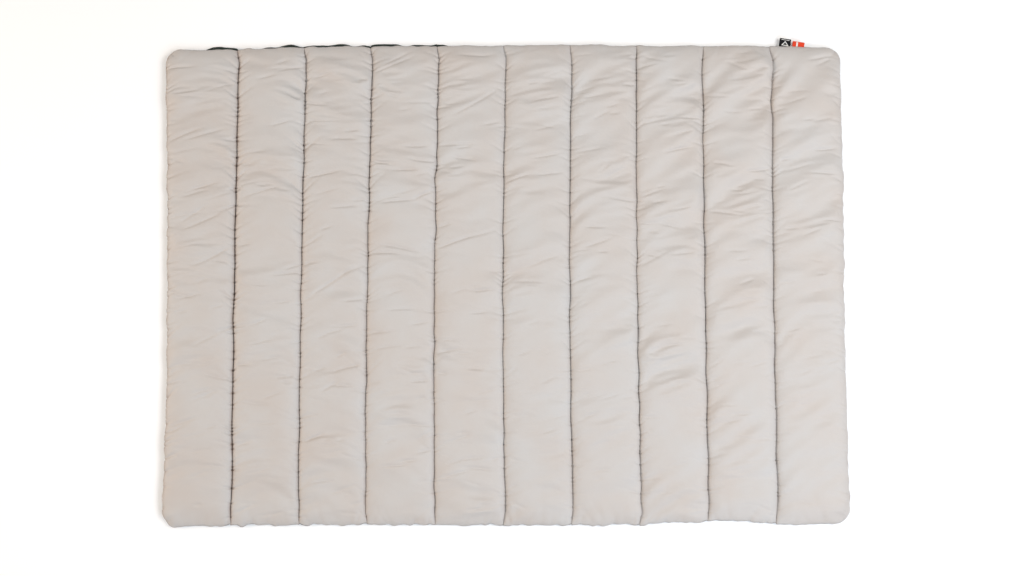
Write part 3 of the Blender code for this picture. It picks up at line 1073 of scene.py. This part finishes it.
def woven_band(name, node, sides, ends):
    """A plain pale band woven proud of the upper layer, between two shares of the ribbon's
    width and two shares of its length."""
    across = np.linspace(*sides, 13)[None, :] + np.zeros((25, 1))
    along = np.linspace(*ends, 25)[:, None] + np.zeros((1, 13))
    points = ribbon_place(node, across, along, MARK_LIFT)
    piece = grid_mesh(name, points, points[:2])
    piece.data.materials.append(pale_yarn)
    add_thickness(piece, 0.0004)
    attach(piece, node)


tent = closed_line([(0.17, 0.72), (0.83, 0.72), (0.50, 0.24)], 10)
door = closed_line([(0.30, 0.65), (0.70, 0.65), (0.50, 0.36)], 10)
woven_mark("tent_mark", "woven_label", tent, door)
woven_band("label_line", "woven_label", (0.14, 0.86), (0.15, 0.10))
woven_band("tab_band", "side_tab", (0.30, 0.45), (0.96, 0.04))

# --- Room ----------------------------------------------------------------------------------
# A pale floor under soft studio light, seen from almost straight above.

FLOOR_HALF = 8.0

floor_material, _, _, floor_shader = start_material("pale_floor")
floor_shader.inputs["Base Color"].default_value = (0.93, 0.93, 0.93, 1)
floor_shader.inputs["Roughness"].default_value = 0.8
corners = FLOOR_HALF * np.array([(-1, -1, 0), (1, -1, 0), (1, 1, 0), (-1, 1, 0)])
floor = plain_mesh("floor", corners, [(0, 1, 2, 3)], floor_material)


def add_light(name, place, size, power, colour):
    """A square soft light at place that faces the middle of the quilt."""
    data = bpy.data.lights.new(name, "AREA")
    data.size = size
    data.energy = power
    data.color = colour
    light = bpy.data.objects.new(name, data)
    light.location = place
    light.rotation_euler = (-light.location).to_track_quat("-Z", "Y").to_euler()
    bpy.context.scene.collection.objects.link(light)


add_light("top", (0, 0, 4.2), 1.0, 55, (0.94, 0.98, 1.00))
add_light("left", (-4.2, 0, 2.2), 2.0, 87, (1.00, 0.81, 0.64))
add_light("key", (2.6, -2.8, 3.2), 2.0, 85, (0.69, 0.82, 1.00))
add_light("right", (3.0, 0, 3.6), 2.0, 97, (1.00, 0.96, 0.92))
world = bpy.data.worlds.new("studio")
world.use_nodes = True
background = world.node_tree.nodes["Background"]
background.inputs["Color"].default_value = (1, 1, 1, 1)
background.inputs["Strength"].default_value = 0.30
bpy.context.scene.world = world
bpy.context.scene.view_settings.view_transform = "Standard"

CAMERA_DISTANCE = 3.2
VIEW_WIDTH = 2.996
TILT = math.radians(3.3)
camera_data = bpy.data.cameras.new("camera")
camera = bpy.data.objects.new("camera", camera_data)
bpy.context.scene.collection.objects.link(camera)
bpy.context.scene.camera = camera
camera_data.lens = camera_data.sensor_width * CAMERA_DISTANCE / VIEW_WIDTH
aim_x, aim_y, aim_z = 0.0250, MIDDLE_Y - 0.0150, 0.03
back_off = CAMERA_DISTANCE * math.sin(TILT)
camera.location = (aim_x, aim_y - back_off, aim_z + CAMERA_DISTANCE * math.cos(TILT))
camera.rotation_euler = (TILT, 0, 0)
